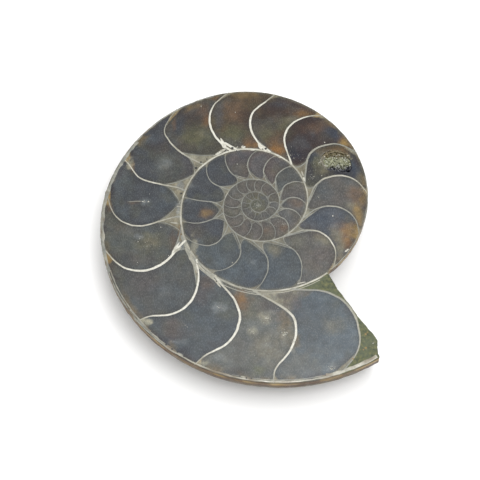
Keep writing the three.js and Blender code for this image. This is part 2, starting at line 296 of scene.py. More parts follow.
class Finish:
    """One procedural material, whose patterns lie in millimetres about the coil's pole."""

    def __init__(self, name):
        self.material = bpy.data.materials.new(name)
        self.material.use_nodes = True
        self.tree = self.material.node_tree
        self.tree.nodes.clear()
        self.place = self.node("Mapping", {"vector_type": "TEXTURE"}, {
            "Vector": self.node("TexCoord", output="Object"),
            "Location": POLE,
            "Rotation": LEAN.to_euler(),
            "Scale": (MILLIMETRE, MILLIMETRE, MILLIMETRE),
        })

    def node(self, kind, settings=(), inputs=(), output=0):
        """Adds a ShaderNode: its settings first, then its sockets' values and links."""
        made = self.tree.nodes.new("ShaderNode" + kind)
        for word, value in dict(settings).items():
            if word == "stops":
                self.set_stops(made.color_ramp, value)
            else:
                setattr(made, word, value)
        for key, value in dict(inputs).items():
            if isinstance(value, Wire):
                self.tree.links.new(value.socket, made.inputs[key])
            else:
                made.inputs[key].default_value = value
        return Wire(self, made.outputs[output])

    @staticmethod
    def set_stops(ramp, stops):
        while len(ramp.elements) < len(stops):
            ramp.elements.new(0.5)
        for element, (position, colour) in zip(ramp.elements, stops):
            element.position = position
            element.color = (*colour, 1)

    def maths(self, operation, first, second):
        return self.node("Math", {"operation": operation}, {0: first, 1: second})

    def mix(self, factor, first, second, blend="MIX"):
        """Mixes two colours, or multiplies them."""
        first = first if isinstance(first, Wire) else (*first, 1)
        second = second if isinstance(second, Wire) else (*second, 1)
        settings = {"data_type": "RGBA", "blend_type": blend}
        return self.node("Mix", settings, {0: factor, 6: first, 7: second}, 2)

    def stored(self, name):
        """The colour that comes with the mesh under this name."""
        return self.node("Attribute", {"attribute_name": name}, output="Color")

    def shaded(self, colour, shade, dark, light=(1, 1, 1)):
        """A colour times dark where the shade is 0, and times light where it is 1."""
        dim = self.mix(1, colour, dark, "MULTIPLY")
        bright = self.mix(1, colour, light, "MULTIPLY")
        return self.mix(shade, dim, bright)

    def grain(self, size, detail=4, roughness=0.55, place=None):
        """Noise between 0 and 1, with lumps about size millimetres across."""
        inputs = {"Vector": place or self.place, "Scale": 1 / size, "Detail": detail, "Roughness": roughness}
        return self.node("TexNoise", {}, inputs)

    def shifted(self, far):
        """The pattern's place moved aside, for noise that doesn't follow the rest."""
        return self.node("VectorMath", {"operation": "ADD"}, {0: self.place, 1: (far, far, far)})

    def stretched(self, *scale):
        """The pattern's place scaled, for noise that runs in streaks."""
        return self.node("Mapping", {}, {"Vector": self.place, "Scale": scale})

    def between(self, low, high, value):
        """0 below low, 1 above high, smooth between."""
        settings = {"interpolation_type": "SMOOTHSTEP"}
        return self.node("MapRange", settings, {"Value": value, "From Min": low, "From Max": high})

    def bump(self, height, depth):
        """A normal from a height between 0 and 1 that stands depth millimetres tall."""
        return self.node("Bump", {}, {"Height": height, "Distance": depth * MILLIMETRE})

    def surface(self, inputs):
        """Ends the finish in one shader."""
        shader = self.node("BsdfPrincipled", {}, {"IOR": STONE_IOR, **inputs}, "BSDF")
        end = self.tree.nodes.new("ShaderNodeOutputMaterial")
        self.tree.links.new(shader.socket, end.inputs["Surface"])
        return self.material


def polished_face():
    """The sawn face: stained chamber fillings, finely mottled, under a hand polish."""
    finish = Finish("polished_face")
    masks = finish.stored("masks")
    mossy = finish.node("SeparateColor", {}, {"Color": masks}, "Red")
    flecked = finish.node("SeparateColor", {}, {"Color": masks}, "Green")
    cloud = finish.between(0.36, 0.66, finish.grain(3.6, 6, 0.6))
    marble = finish.between(0.38, 0.64, finish.grain(1.5, 5, 0.62, finish.shifted(20)))
    fine = finish.between(0.32, 0.68, finish.grain(0.34, 3, 0.65, finish.stretched(1, 0.5, 1)))
    shade = cloud * 0.42 + marble * 0.36 + fine * 0.22
    colour = finish.shaded(finish.stored("stain"), shade, (0.62, 0.63, 0.64), (1.4, 1.38, 1.35))
    drift = finish.between(0.38, 0.62, finish.grain(4.5, 5, 0.6, finish.shifted(60)))
    colour = finish.shaded(colour, drift, (0.97, 1.0, 1.02), (1.04, 1.0, 0.95))
    crumbs = finish.node("ValToRGB", {"stops": (
        (0.34, seen(62, 68, 52)), (0.46, seen(94, 100, 76)), (0.56, seen(112, 116, 84)),
        (0.64, seen(134, 130, 84)), (0.74, seen(168, 166, 146)),
    )}, {"Fac": finish.grain(1, 5, 0.72)})
    smooth_rock = finish.between(0.5, 0.6, finish.grain(4, 2, 0.5, finish.shifted(80)))
    crumbs = finish.mix(smooth_rock * 0.45, crumbs, seen(104, 112, 92))
    colour = finish.mix(mossy * 0.85, colour, crumbs)
    flecks = finish.grain(0.42, 3, 0.6)
    bright = finish.between(0.73, 0.82, flecks + 0.2 * flecked)
    colour = finish.mix(bright * 0.7, colour, COLOURS["pale tan"])
    pores = finish.between(0.7, 0.78, finish.grain(0.36, 2, 0.5, finish.shifted(40)))
    return finish.surface({
        "Base Color": finish.mix(pores * 0.5, colour, COLOURS["pit"]),
        "Roughness": 0.2 + 0.1 * fine + 0.3 * mossy,
        "Normal": finish.bump(fine + mossy * flecks * 4, 0.01),
    })


def stained_line():
    """Shell in the cut face: the colour comes with the mesh, a little cloudy."""
    finish = Finish("shell_line")
    cloud = finish.between(0.35, 0.65, finish.grain(0.8, 5, 0.65))
    return finish.surface({
        "Base Color": finish.shaded(finish.stored("stain"), cloud, (0.76, 0.75, 0.72)),
        "Roughness": 0.3,
    })


def worn_shell():
    """The outside: satin shell whose stains come with the mesh, streaked along its growth."""
    finish = Finish("worn_shell")
    layers = finish.stretched(0.12, 0.12, 1.3)
    clouds = finish.between(0.35, 0.65, finish.grain(4, 6, 0.65))
    streaks = finish.between(0.4, 0.62, finish.grain(1, 5, 0.65, layers))
    bands = finish.between(0.48, 0.6, finish.grain(2.2, 4, 0.6, layers))
    pits = finish.grain(0.7, 5, 0.65)
    shade = 0.45 * clouds + 0.55 * streaks
    colour = finish.shaded(finish.stored("stain"), shade, (0.6, 0.57, 0.52), (1.3, 1.28, 1.22))
    colour = finish.mix(bands * 0.55, colour, seen(102, 78, 50))
    return finish.surface({
        "Base Color": finish.mix(finish.between(0.6, 0.74, pits) * 0.6, colour, COLOURS["dark earth"]),
        "Roughness": 0.4 + 0.25 * clouds,
        "Normal": finish.bump(pits + streaks, 0.12),
    })


def rough_matrix():
    """Olive rock with yellow-brown grains, broken rough."""
    finish = Finish("rough_matrix")
    lumps = finish.grain(1.6, 6, 0.7)
    grains = finish.grain(0.5, 4, 0.6)
    colour = finish.node("ValToRGB", {"stops": (
        (0.32, seen(62, 64, 46)), (0.47, COLOURS["moss"]), (0.6, seen(130, 120, 78)),
        (0.72, seen(158, 138, 88)),
    )}, {"Fac": lumps})
    return finish.surface({
        "Base Color": finish.mix(finish.between(0.62, 0.7, grains) * 0.6, colour, COLOURS["pale tan"]),
        "Roughness": 0.78,
        "Normal": finish.bump(lumps + 0.5 * grains, 0.5),
    })


def vug_wall():
    """The open pocket's granular wall, in the colours beside it, with painted shade in its lower part."""
    finish = Finish("vug_wall")
    grains = finish.grain(0.7, 5, 0.6)
    shade = finish.between(0.38, 0.62, grains)
    return finish.surface({
        "Base Color": finish.shaded(finish.stored("stain"), shade, (0.5, 0.5, 0.5)),
        "Roughness": 0.4,
        "Normal": finish.bump(grains, 0.3),
    })


def crystal():
    """Small glassy crystals, pale yellow-green."""
    finish = Finish("crystal")
    shade = finish.between(0.35, 0.7, finish.grain(0.6, 3, 0.6))
    return finish.surface({
        "Base Color": finish.shaded(finish.stored("stain"), shade, (0.6, 0.62, 0.6)),
        "Roughness": 0.16,
        "IOR": CRYSTAL_IOR,
    })


# Where each point of the face belongs
def chamber_of(angle, share):
    """How many septa lie between the aperture and each point."""
    across = np.clip(share, 0, 1)
    count = np.zeros(len(angle), int)
    for row in SEPTA:
        count += np.interp(across, SHARES, row) > angle
    return count


def septum_points(row, count):
    """Points along a septum, from the inner wall to the outer wall."""
    share = np.linspace(0, 1, count)
    return np.column_stack(place_at(np.interp(share, SHARES, row), share))


def wall_points(start, end, step=2.5, shift=0):
    """Points along the coil's wall, from one of its angles to another, shifted outwards."""
    angle = np.arange(start, end + step / 2, step)
    radius = wall_radius(angle) + shift
    turn = np.radians(angle)
    return np.column_stack([radius * np.cos(turn), radius * np.sin(turn)])


def tree_of(lines):
    """The lines' points in a tree that finds the nearest one."""
    rows = np.concatenate(lines)
    tree = kdtree.KDTree(len(rows))
    for index, (px, py) in enumerate(rows):
        tree.insert((px, py, 0), index)
    tree.balance()
    return tree


def distance_to(lines, x, y):
    """How far each point is from the nearest of the lines' points."""
    tree = tree_of(lines)
    return np.array([tree.find((px, py, 0))[2] for px, py in zip(x, y)])


# Where a septum meets a wall, calcite fills the corner on either side of it. Each corner is
# bounded by a curve from the wall to the septum, which is straight at a roundness of 1 and
# follows both walls at 0. The filling ends within CORNER_FADE of that curve, and reaches a
# little past both walls.
ROUNDNESS = 0.7
ALONG_SEPTUM = 1.1
CORNER_SIDES = ((0, 1), (0, -1), (1, 1), (1, -1))
CORNER_FADE = (1.14, 0.94)
CORNER_SLACK = 0.08
LEAST_CORNER = 1e-6

# How far the corners are filled: ahead of and behind the inner end of each septum of the last
# whorl, then ahead of and behind its outer end. The inner whorls' septa all have the same.
LAST_CORNERS = (
    (0.1, 0.12, 0, 0.14), (0.56, 0, 0.1, 0.06), (0.08, 0, 0.1, 0.04), (0, 0.22, 0.12, 0.06),
    (0.16, 0.24, 0.14, 0.08), (0.28, 0.28, 0.2, 0.12), (0.27, 0.32, 0.08, 0.2), (0.24, 0.36, 0.1, 0.14),
    (0.1, 0.2, 0, 0.12), (0.06, 0.18, 0.06, 0.12), (0, 0, 0.12, 0.12), (0.34, 0, 0.08, 0.14),
    (0.28, 0.2, 0.1, 0.1), (0.24, 0.22, 0.12, 0.14), (0.3, 0.22, 0.1, 0.12),
)
INNER_CORNERS = (0.27, 0.27, 0.12, 0.14)


def corners_of_septum(index, shares=(0, 1)):
    """A septum's filled corners: the chamber of each, and its tip, wall end and septum end."""
    row = SEPTA[index]
    found = []
    sizes = LAST_CORNERS[index] if index < LAST_COUNT else INNER_CORNERS
    for (share, side), size in zip(CORNER_SIDES, sizes):
        if size == 0 or share not in shares:
            continue
        tip_angle = row[0] if share == 0 else row[-1]
        height = float(wall_radius(tip_angle) - wall_radius(tip_angle - 360))
        radius = float(wall_radius(tip_angle - 360 if share == 0 else tip_angle))
        reach = math.degrees(size * height / radius)
        wall_end = place_at(tip_angle + side * reach, share)
        up = abs(share - ALONG_SEPTUM * size)
        septum_end = place_at(float(np.interp(up, SHARES, row)), up)
        tip = place_at(tip_angle, share)
        corner = tuple(np.array(point, float) for point in (tip, wall_end, septum_end))
        found.append((index if side == 1 else index + 1, corner))
    return found


def corner_curve(tip, wall_end, septum_end, count=14):
    """The hollow curve that bounds a filled corner."""
    turn = np.linspace(0, math.pi / 2, count)[:, None]
    to_wall = np.cos(turn) ** (2 / ROUNDNESS)
    to_septum = np.sin(turn) ** (2 / ROUNDNESS)
    return tip + to_wall * (wall_end - tip) + to_septum * (septum_end - tip)


def inside_corner(corner, x, y):
    """1 inside a filled corner, fading to 0 outside its bounding curve."""
    tip, wall_end, septum_end = corner
    first = wall_end - tip
    second = septum_end - tip
    area = first[0] * second[1] - first[1] * second[0]
    if abs(area) < LEAST_CORNER:
        return np.zeros(len(x))
    dx = x - tip[0]
    dy = y - tip[1]
    u = (dx * second[1] - dy * second[0]) / area
    v = (first[0] * dy - first[1] * dx) / area
    reach = np.clip(u, 0, None) ** ROUNDNESS + np.clip(v, 0, None) ** ROUNDNESS
    inside = (u > -CORNER_SLACK) & (v > -CORNER_SLACK)
    return np.where(inside, fade(*CORNER_FADE, reach), 0)


# Chamber fillings from the aperture inwards. The first is the rock past the last septum.
LAST_FILLINGS = (
    "moss", "steel", "pale grey", "slate", "stone grey", "stone grey", "deep slate", "deep slate",
    "umber", "brown", "brown", "maroon", "umber", "warm grey", "dusk", "warm grey",
)
SECOND_FILLINGS = (
    "slate", "slate", "slate", "deep slate", "deep slate", "deep slate", "deep slate", "mauve", "mauve",
    "mauve", "stone grey", "warm grey", "warm grey", "warm grey", "warm grey",
)

# Stains in the fillings: colour, place, half its length along x and y, and strength.
STAINS = (
    ("slate", 17, -42, 8, 8, 0.6), ("pale grey", 12, -55, 9, 4.5, 0.8), ("tan", 9.5, -30.5, 6.5, 2.2, 0.55),
    ("tan", 23.4, -41.2, 3.2, 2.6, 0.4), ("haze", 22.6, -55.1, 1.3, 1.3, 0.8),
    ("haze", 17.6, -57.1, 5, 1.6, 0.3), ("tan", 10.8, -46, 1.6, 3.6, 0.6), ("rust", -5, -33, 2.6, 4, 0.8),
    ("amber", -5.4, -32.4, 1.6, 3.2, 0.6), ("mauve", 4.5, -34.6, 4, 3.4, 0.5),
    ("haze", -11.8, -35.6, 2, 1.2, 0.7), ("pale tan", 2.8, -39, 1.7, 1.5, 0.6),
    ("golden", 8.2, -41.5, 1.4, 4.4, 0.35), ("pale tan", -2.1, -43.4, 1.1, 1.2, 0.6),
    ("pale tan", 8.4, -44, 1.3, 2, 0.45), ("golden", 11.6, -46.2, 1.2, 1.8, 0.5),
    ("tan", 2.5, -49.5, 5.5, 5, 0.4), ("haze", 3, -48, 1.2, 0.6, 0.4), ("rust", -16, -26.8, 3, 2.2, 0.45),
    ("mauve", -17.5, -31, 3, 3.5, 0.6), ("mauve", -26, -42.5, 4, 3.5, 0.75),
    ("mauve", -35, -26.5, 5, 5, 0.75), ("haze", -29.5, -30.5, 1.9, 1.4, 0.5),
    ("slate", -26, -34, 6, 5, 0.5), ("olive", -35, -13.4, 5, 4, 0.45), ("tan", -33.5, -12.8, 2.6, 2.2, 0.4),
    ("haze", -37.4, -11.5, 0.7, 0.5, 0.8), ("rust", -26.6, -13.4, 1, 3.6, 0.5),
    ("rust", -39.4, 1, 2, 0.1, 0.45), ("haze", -36, 1.2, 1, 0.6, 0.6),
    ("pale grey", -30, 14.6, 4, 3.4, 0.45), ("haze", -29.6, 14.2, 2.2, 1.2, 0.35),
    ("maroon", -31.5, 20.5, 5, 2.4, 0.5), ("amber", -13.8, 38.5, 1.6, 0.7, 0.75),
    ("rust", -16.8, 31, 2, 3.6, 0.8), ("orange", -16.6, 29.6, 0.9, 2, 0.3),
    ("maroon", -22, 29.5, 5, 4, 0.6), ("olive", -19.5, 24.5, 5, 4, 0.75), ("tan", -18, 25.5, 1.6, 1, 0.3),
    ("night", -25.5, 28.3, 2, 4, 0.5), ("rust", -7.6, 33, 4, 3.6, 0.75),
    ("maroon", -3.4, 31.6, 2.4, 3.4, 0.6), ("olive", -7.9, 25.4, 4.6, 3, 0.8),
    ("dusk", -12.5, 32.1, 1.3, 4.5, 0.5), ("rust", -2, 22.4, 2.6, 1.6, 0.8),
    ("amber", 6.4, 19.2, 2.6, 3, 0.9), ("orange", 6.2, 18.6, 1.8, 2, 0.7), ("rust", 5.4, 22.8, 3, 2.4, 0.6),
    ("olive", 2.9, 25, 2.6, 3.4, 0.7), ("pit", 2, 29.8, 3, 2.2, 0.45), ("night", 6.6, 35.8, 4, 1.2, 0.6),
    ("maroon", 4.5, 34.1, 4, 3, 0.7), ("olive", 9, 28.4, 2.6, 3, 0.7), ("amber", 15.4, 32.6, 4, 1, 0.8),
    ("tan", 12.4, 30.2, 3.4, 1.1, 0.55), ("maroon", 9.5, 33.4, 4.4, 1.6, 0.6),
    ("rust", 19.6, 27.4, 4.4, 1.8, 0.5), ("ink", 11.6, 17.4, 4.6, 2.4, 0.9),
    ("night", 25.3, 26.1, 3.6, 2.6, 0.8), ("amber", 29.4, 21.6, 2.2, 2, 0.85),
    ("olive", 25.6, 19.6, 4, 1.4, 0.7), ("brown", 24.6, 18.8, 6, 2.4, 0.9),
    ("earth", 26, 19.4, 3.6, 1.2, 0.5), ("tan", 22, 17.6, 2.6, 1.2, 0.4),
    ("amber", 26.4, 18.4, 2.4, 0.8, 0.45), ("ink", 17.6, 13, 1.8, 4, 0.9),
    ("night", 18.4, 16.4, 1.8, 1.6, 0.8), ("night", 31, 12.6, 2.6, 4.6, 0.9), ("ink", 27, 11, 5, 1.8, 1),
    ("olive", 20, 13.4, 2.4, 2.6, 0.8), ("tan", 20.4, 12.4, 1.8, 1.6, 0.35),
    ("tan", 32.6, 8, 0.8, 3.2, 0.6), ("rust", 32, 2.6, 2.6, 4, 0.75), ("tan", 30.2, -0.6, 2, 1, 0.8),
    ("golden", 32.2, -3.6, 1.2, 3.6, 0.7), ("golden", 34.2, 2.6, 0.8, 4, 0.6),
    ("mauve", 26, 2, 3.4, 3, 0.4), ("slate", 20.5, 4.6, 3.8, 3.4, 0.7),
    ("night", 20.3, -4.4, 3.6, 3.4, 0.5), ("rust", 26.6, -10.4, 3.4, 5, 0.4),
    ("amber", 29.2, -10.6, 3, 4.6, 0.65), ("golden", 31, -10.4, 1.6, 4.4, 0.45),
    ("orange", 28.4, -14, 1.4, 1.4, 0.55), ("haze", 25.2, -8.2, 1.2, 0.4, 0.4),
    ("tan", 26.2, -15.4, 1.8, 4, 0.85), ("tan", 24.6, -10.8, 2, 1.8, 0.6),
    ("tan", 21.8, -12.3, 4.2, 1.4, 0.7), ("mauve", 19.4, -17.6, 3.6, 3, 0.6),
    ("tan", 5.5, -15.5, 2, 1.9, 0.6), ("slate", -33, -29, 7, 7, 0.35),
    ("haze", -0.9, -19.6, 0.4, 0.3, 0.35), ("rust", -16, -3.2, 2.4, 1.2, 0.7),
    ("golden", -16.6, -3.2, 1, 0.6, 0.4), ("haze", -21.4, 6.8, 1.4, 0.6, 0.4),
    ("haze", -22, 1.6, 1.8, 0.5, 0.4), ("rust", 12.6, 0.6, 2.6, 1.4, 0.6), ("rust", 8.4, -7.6, 1.4, 1, 0.7),
    ("rust", 2.6, -9, 1.4, 0.8, 0.4), ("haze", 0.5, -0.4, 0.7, 0.7, 0.6), ("ink", -28, -46.4, 2.4, 1, 0.6),
    ("ink", -23, -49.8, 2.6, 0.9, 0.6), ("haze", -25, -46.6, 2.6, 0.3, 0.4),
    ("ink", -5.6, -56.4, 3.4, 0.6, 0.5), ("haze", -12, -52.6, 2.6, 0.6, 0.4),
    ("night", -2.6, -25.6, 3, 1.2, 0.3), ("moss", 0.6, -56.4, 1.6, 1, 0.6),
)

# Stains over the filled corners.
CORNER_STAINS = (
    ("amber", -1.6, 21.2, 2.6, 1.2, 0.5), ("warm grey", 10.5, -31.4, 6, 1.8, 0.85),
    ("golden", 28.6, 21.2, 2, 1.4, 0.6), ("golden", 31.4, -10.8, 0.9, 3.6, 0.6),
    ("mauve", 11.4, -33.6, 3.2, 2.4, 0.6), ("haze", -24.4, -14.2, 1.3, 1.6, 0.8),
    ("haze", -25.2, -1.8, 0.9, 2.6, 0.7), ("haze", -24.4, 6.4, 1.1, 1.6, 0.6),
    ("amber", -24.2, -10, 0.9, 3, 0.5), ("pale tan", -41.2, 14, 1.2, 2.2, 0.8),
    ("amber", -39.8, 12.4, 0.5, 2.2, 0.3), ("golden", -46.9, -19.2, 1, 1.9, 0.6),
    ("rust", -27, 29, 0.9, 3, 0.5), ("rust", -47.4, -0.5, 0.9, 2, 0.35), ("olive", 0, 0, 3, 3, 0.5),
    ("pale tan", -35, -40.4, 1.5, 1.3, 0.9), ("pale tan", -16.4, -53.8, 1.8, 1.1, 0.8),
    ("pale tan", -20.4, -14.6, 1.4, 4.6, 0.5),
)

# Tints that drift through all fillings: colour, size of the clouds and strength.
DRIFTS = (("olive", 9, 0.3), ("mauve", 11, 0.3), ("steel", 7, 0.3), ("night", 12, 0.18))

# Places with pale flecks: place, half its length along x and y, and strength.
FLECKS = (
    (20.5, 15, 3, 2.6, 0.8), (4.5, -43, 8, 7, 0.35), (23.4, -42, 4, 4, 0.3), (-34, -13, 4.5, 3.5, 0.4),
    (0, 0, 2.6, 2.6, 0.5), (24, 4.6, 4, 3, 0.35), (11, 17.5, 3.4, 1.8, 0.7), (8, -6.5, 2.4, 2, 0.6),
    (17, 12, 2, 4, 0.5), (-4, 22, 6, 1.5, 0.3),
)
BORDER_PATCH = 8

# How much wider than its row a spot is, and between which shares of its size it fades out.
SPOT_MARGIN = 0.6
SPOT_FADE = (1.4, 0.1)

# Angles of the coil where its last two whorls and its last one begin.
SECOND_WHORL_START = -410
LAST_WHORL_START = -46


def spots(rows, x, y, ragged):
    """How much each place of a list covers each point of the face."""
    for centre_x, centre_y, half_x, half_y, strength in rows:
        across = (x - centre_x) / (half_x + SPOT_MARGIN)
        along_y = (y - centre_y) / (half_y + SPOT_MARGIN)
        yield strength * fade(*SPOT_FADE, np.hypot(across, along_y) + ragged)


def blend(colours, name, amount):
    """Shifts colours towards a named one, each by its own amount."""
    return colours + (COLOURS[name] - colours) * amount[:, None]


def face_colours(x, y):
    """The colour of each point of the cut face, and how mossy and how flecked it is."""
    angle, share = locate(x, y)
    chamber = chamber_of(angle, share)
    fillings = LAST_FILLINGS + SECOND_FILLINGS + ("warm grey",) * (len(SEPTA) - SECOND_COUNT + 1)
    palette = np.array([COLOURS[name] for name in fillings])
    colours = palette[np.minimum(chamber, len(palette) - 1)]
    for step, (name, size, strength) in enumerate(DRIFTS):
        cloud = ripple(x + 7 * chamber, y, size, 2.5 + 3 * step)
        colours = blend(colours, name, strength * fade(0.0, 0.55, cloud))

    wander_x = x + 0.9 * ripple(x, y, 4.5, 1.5)
    wander_y = y + 0.9 * ripple(x, y, 4.5, 7.5)
    ragged = 0.34 * ripple(x, y, 1.9, 3.5, 4)
    rows = [row[1:] for row in STAINS]
    homes = chamber_of(*locate(*np.array([row[:2] for row in rows], float).T))
    for (name, *_), home, amount in zip(STAINS, homes, spots(rows, wander_x, wander_y, ragged)):
        colours = blend(colours, name, amount * (chamber == home))

    rim = wall_radius(angle) - np.hypot(x, y)
    last = angle > LAST_WHORL_START
    edge = fade(3.2, 0.8, rim + 1.6 * ragged) * last
    patch = ripple(x, y, BORDER_PATCH, 11.5)
    colours = blend(colours, "dark earth", 0.55 * edge * fade(-0.3, 0.4, patch))
    colours = blend(colours, "golden", 0.35 * edge * fade(-0.15, -0.5, patch))

    corners = [pair for index in range(len(SEPTA)) for pair in corners_of_septum(index)]
    outlines = [septum_points(row, 90) for row in SEPTA]
    outlines += [wall_points(COIL_END, RIM_START, 0.5)]
    outlines += [corner_curve(*corner, 24) for _, corner in corners]
    near_line = distance_to(outlines, x, y)
    halo = fade(1.0, 0.25, near_line) * 0.28 + fade(2.6, 0.5, near_line) * 0.16 * last
    colours = blend(colours, "pit", halo * (chamber > 0))

    filled = np.zeros(len(x))
    for home, corner in corners:
        inside = inside_corner(corner, x + 0.5 * ragged, y + 0.3 * ragged)
        filled = np.maximum(filled, inside * (chamber == home))
    chalk = fade(-0.35, 0.4, ripple(x, y, 2.6, 17.5))
    filling = COLOURS["tan"] + (COLOURS["pale tan"] - COLOURS["tan"]) * (0.8 * chalk)[:, None]
    strength = np.where(last, 0.9, np.where(angle > SECOND_WHORL_START, 0.6, 0.35))
    colours = colours + (filling - colours) * (strength * filled)[:, None]
    near_rim = filled * fade(3.4, 1.6, rim) * last
    colours = blend(colours, "golden", 0.6 * near_rim * fade(-0.2, 0.3, patch + ragged))
    homes, _ = locate(*np.array([row[1:3] for row in CORNER_STAINS], float).T)
    for (name, centre_x, centre_y, half_x, half_y, strength), home in zip(CORNER_STAINS, homes):
        across = (wander_x - centre_x) / half_x
        along_y = (wander_y - centre_y) / half_y
        cover = fade(1.2, 0.6, np.hypot(across, along_y) + 1.8 * ragged)
        same_side = last == (home > LAST_WHORL_START)
        colours = blend(colours, name, strength * cover * same_side)
    to_wall = distance_to([wall_points(COIL_END, RIM_START, 0.5)], x, y)
    beside = fade(1.1, 0.3, to_wall + 0.6 * ragged) * np.where(angle > SECOND_WHORL_START, 0.4, 0.1)
    colours = blend(colours, "tan", beside)

    mossy = np.where(chamber == 0, 1.0, 0.0)
    flecked = np.zeros(len(x))
    for amount in spots(FLECKS, wander_x, wander_y, ragged):
        flecked = np.maximum(flecked, amount)
    masks = np.column_stack([mossy, flecked, np.zeros(len(x))])
    return colours, masks


# The fossil's body: how finely it is cut, and how the faces of each finish are told apart.
OUTSIDE_CUTS = 2
BREAK_CUTS = 5
MERGE_REACH = 0.002
SLAB_DEPTH = 40
BODY_CREASE = 40
FACE_TURN = 0.999
FACE_LEVEL = -0.05
BREAK_TURNS = (-75, -25)
BREAK_FORWARD = 0.6
BREAK_RADIUS = 20
NODE = frame["nodes"]["ammonite_half"]
VUG_CENTRE = (25.6, 15.3)
VUG_REACH = 6.8
VUG_FLOOR = -4
VUG_OVERHANG = -0.2
POCKET_SLANT = 0.1
POCKET_TOP = seen(126, 114, 88)
FACE, OUTSIDE, BREAK, VUG = range(4)

# How rough the broken rock is and how worn the outside, with the size of their lumps. Above
# LEVEL_PUSH the outside moves sideways only, so that the cut face stays whole.
ROCK_ROUGHNESS = 0.55
ROCK_LUMP = 1.7
ROCK_LOSS = 0.15
SHELL_WEAR = 0.22
SHELL_LUMP = 5
SHELL_NICK = 0.05
NICK_LUMP = 1.1
LEVEL_PUSH = -0.6


def region_of(face):
    """Which of the body's four finishes a face of the frame's solid has."""
    middle = face.center
    if face.normal.z > FACE_TURN and middle.z > FACE_LEVEL:
        return FACE
    in_vug = math.hypot(middle.x - VUG_CENTRE[0], middle.y - VUG_CENTRE[1]) < VUG_REACH
    if in_vug and middle.z > VUG_FLOOR and face.normal.z > VUG_OVERHANG:
        return VUG
    return BREAK if is_break(face) else OUTSIDE


def is_break(face):
    """The broken aperture faces forward along the coil, outside the inner whorls."""
    turn = math.atan2(face.center.y, face.center.x)
    forward = Vector((-math.sin(turn), math.cos(turn), 0))
    radius = math.hypot(face.center.x, face.center.y)
    near_mouth = BREAK_TURNS[0] < math.degrees(turn) < BREAK_TURNS[1]
    return near_mouth and face.normal.dot(forward) > BREAK_FORWARD and radius > BREAK_RADIUS


def subdivide(piece, wanted, cuts):
    """Cuts the faces of some of a piece's finishes into smaller ones."""
    bpy.ops.object.mode_set(mode="EDIT")
    bpy.ops.mesh.select_mode(type="FACE")
    bpy.ops.mesh.select_all(action="DESELECT")
    bpy.ops.object.mode_set(mode="OBJECT")
    for face in piece.data.polygons:
        face.select = face.material_index in wanted
    bpy.ops.object.mode_set(mode="EDIT")
    bpy.ops.mesh.subdivide(number_cuts=cuts)
    bpy.ops.object.mode_set(mode="OBJECT")


def make_body():
    """The frame's own solid, each face given its finish, and the outside, pocket and break cut finer."""
    body = NODE.copy()
    body.data = NODE.data.copy()
    body.parent = None
    for key in list(body.keys()):
        del body[key]
    body.name = "fossil_half"
    body.data.name = "fossil_half"
    bpy.context.collection.objects.link(body)
    body.data.transform(SETTLE.inverted())
    body.matrix_world = Matrix.Identity(4)
    use_only(body)
    bpy.ops.object.mode_set(mode="EDIT")
    bpy.ops.mesh.select_all(action="SELECT")
    bpy.ops.mesh.remove_doubles(threshold=MERGE_REACH)
    bpy.ops.object.mode_set(mode="OBJECT")
    body.data.materials.clear()
    for maker in (polished_face, worn_shell, rough_matrix, vug_wall):
        body.data.materials.append(maker())
    regions = [region_of(face) for face in body.data.polygons]
    body.data.polygons.foreach_set("material_index", regions)
    subdivide(body, (OUTSIDE, VUG), OUTSIDE_CUTS)
    subdivide(body, (BREAK,), BREAK_CUTS)
    return body


def roughen(body):
    """Breaks up the rock of the aperture and wears the outside a little."""
    on_break = set()
    on_outside = set()
    for face in body.data.polygons:
        if face.material_index == BREAK:
            on_break.update(face.vertices)
        elif face.material_index == OUTSIDE:
            on_outside.update(face.vertices)
    for index, normal in enumerate(body.data.vertex_normals):
        vertex = body.data.vertices[index]
        place = vertex.co
        # Points on both the rock and the outside, or on neither, stay where they are.
        if (index in on_break) == (index in on_outside):
            continue
        if index in on_break:
            depth = ROCK_ROUGHNESS * noise.fractal(place / ROCK_LUMP, 1, 2, 4) - ROCK_LOSS
        else:
            depth = -SHELL_WEAR * abs(noise.fractal(place / SHELL_LUMP, 1, 2, 4))
            depth -= SHELL_NICK * abs(noise.noise(place / NICK_LUMP))
        push = Vector(normal.vector)
        if index in on_break or place.z > LEVEL_PUSH:
            push.z = 0
        vertex.co = place + push * depth


def cut_fine(body):
    """Cuts the body by a gridded slab, whose grid becomes the cut face."""
    cells = round(FACE_REACH / FACE_CELL)
    bpy.ops.object.select_all(action="DESELECT")
    bpy.ops.mesh.primitive_grid_add(
        x_subdivisions=cells, y_subdivisions=cells, size=FACE_REACH,
        location=(*FACE_CENTRE, -FACE_DEPTH),
    )
    slab = bpy.context.object
    solid = slab.modifiers.new("Depth", "SOLIDIFY")
    solid.thickness = SLAB_DEPTH
    solid.offset = -1
    bpy.ops.object.modifier_apply(modifier="Depth")
    bpy.ops.object.transform_apply(location=True, rotation=True, scale=True)
    slab.data.materials.append(body.data.materials[FACE])
    use_only(body)
    cut = body.modifiers.new("Cut", "BOOLEAN")
    cut.operation = "INTERSECT"
    cut.solver = "MANIFOLD"
    cut.object = slab
    bpy.ops.object.modifier_apply(modifier="Cut")
    bpy.data.objects.remove(slab)


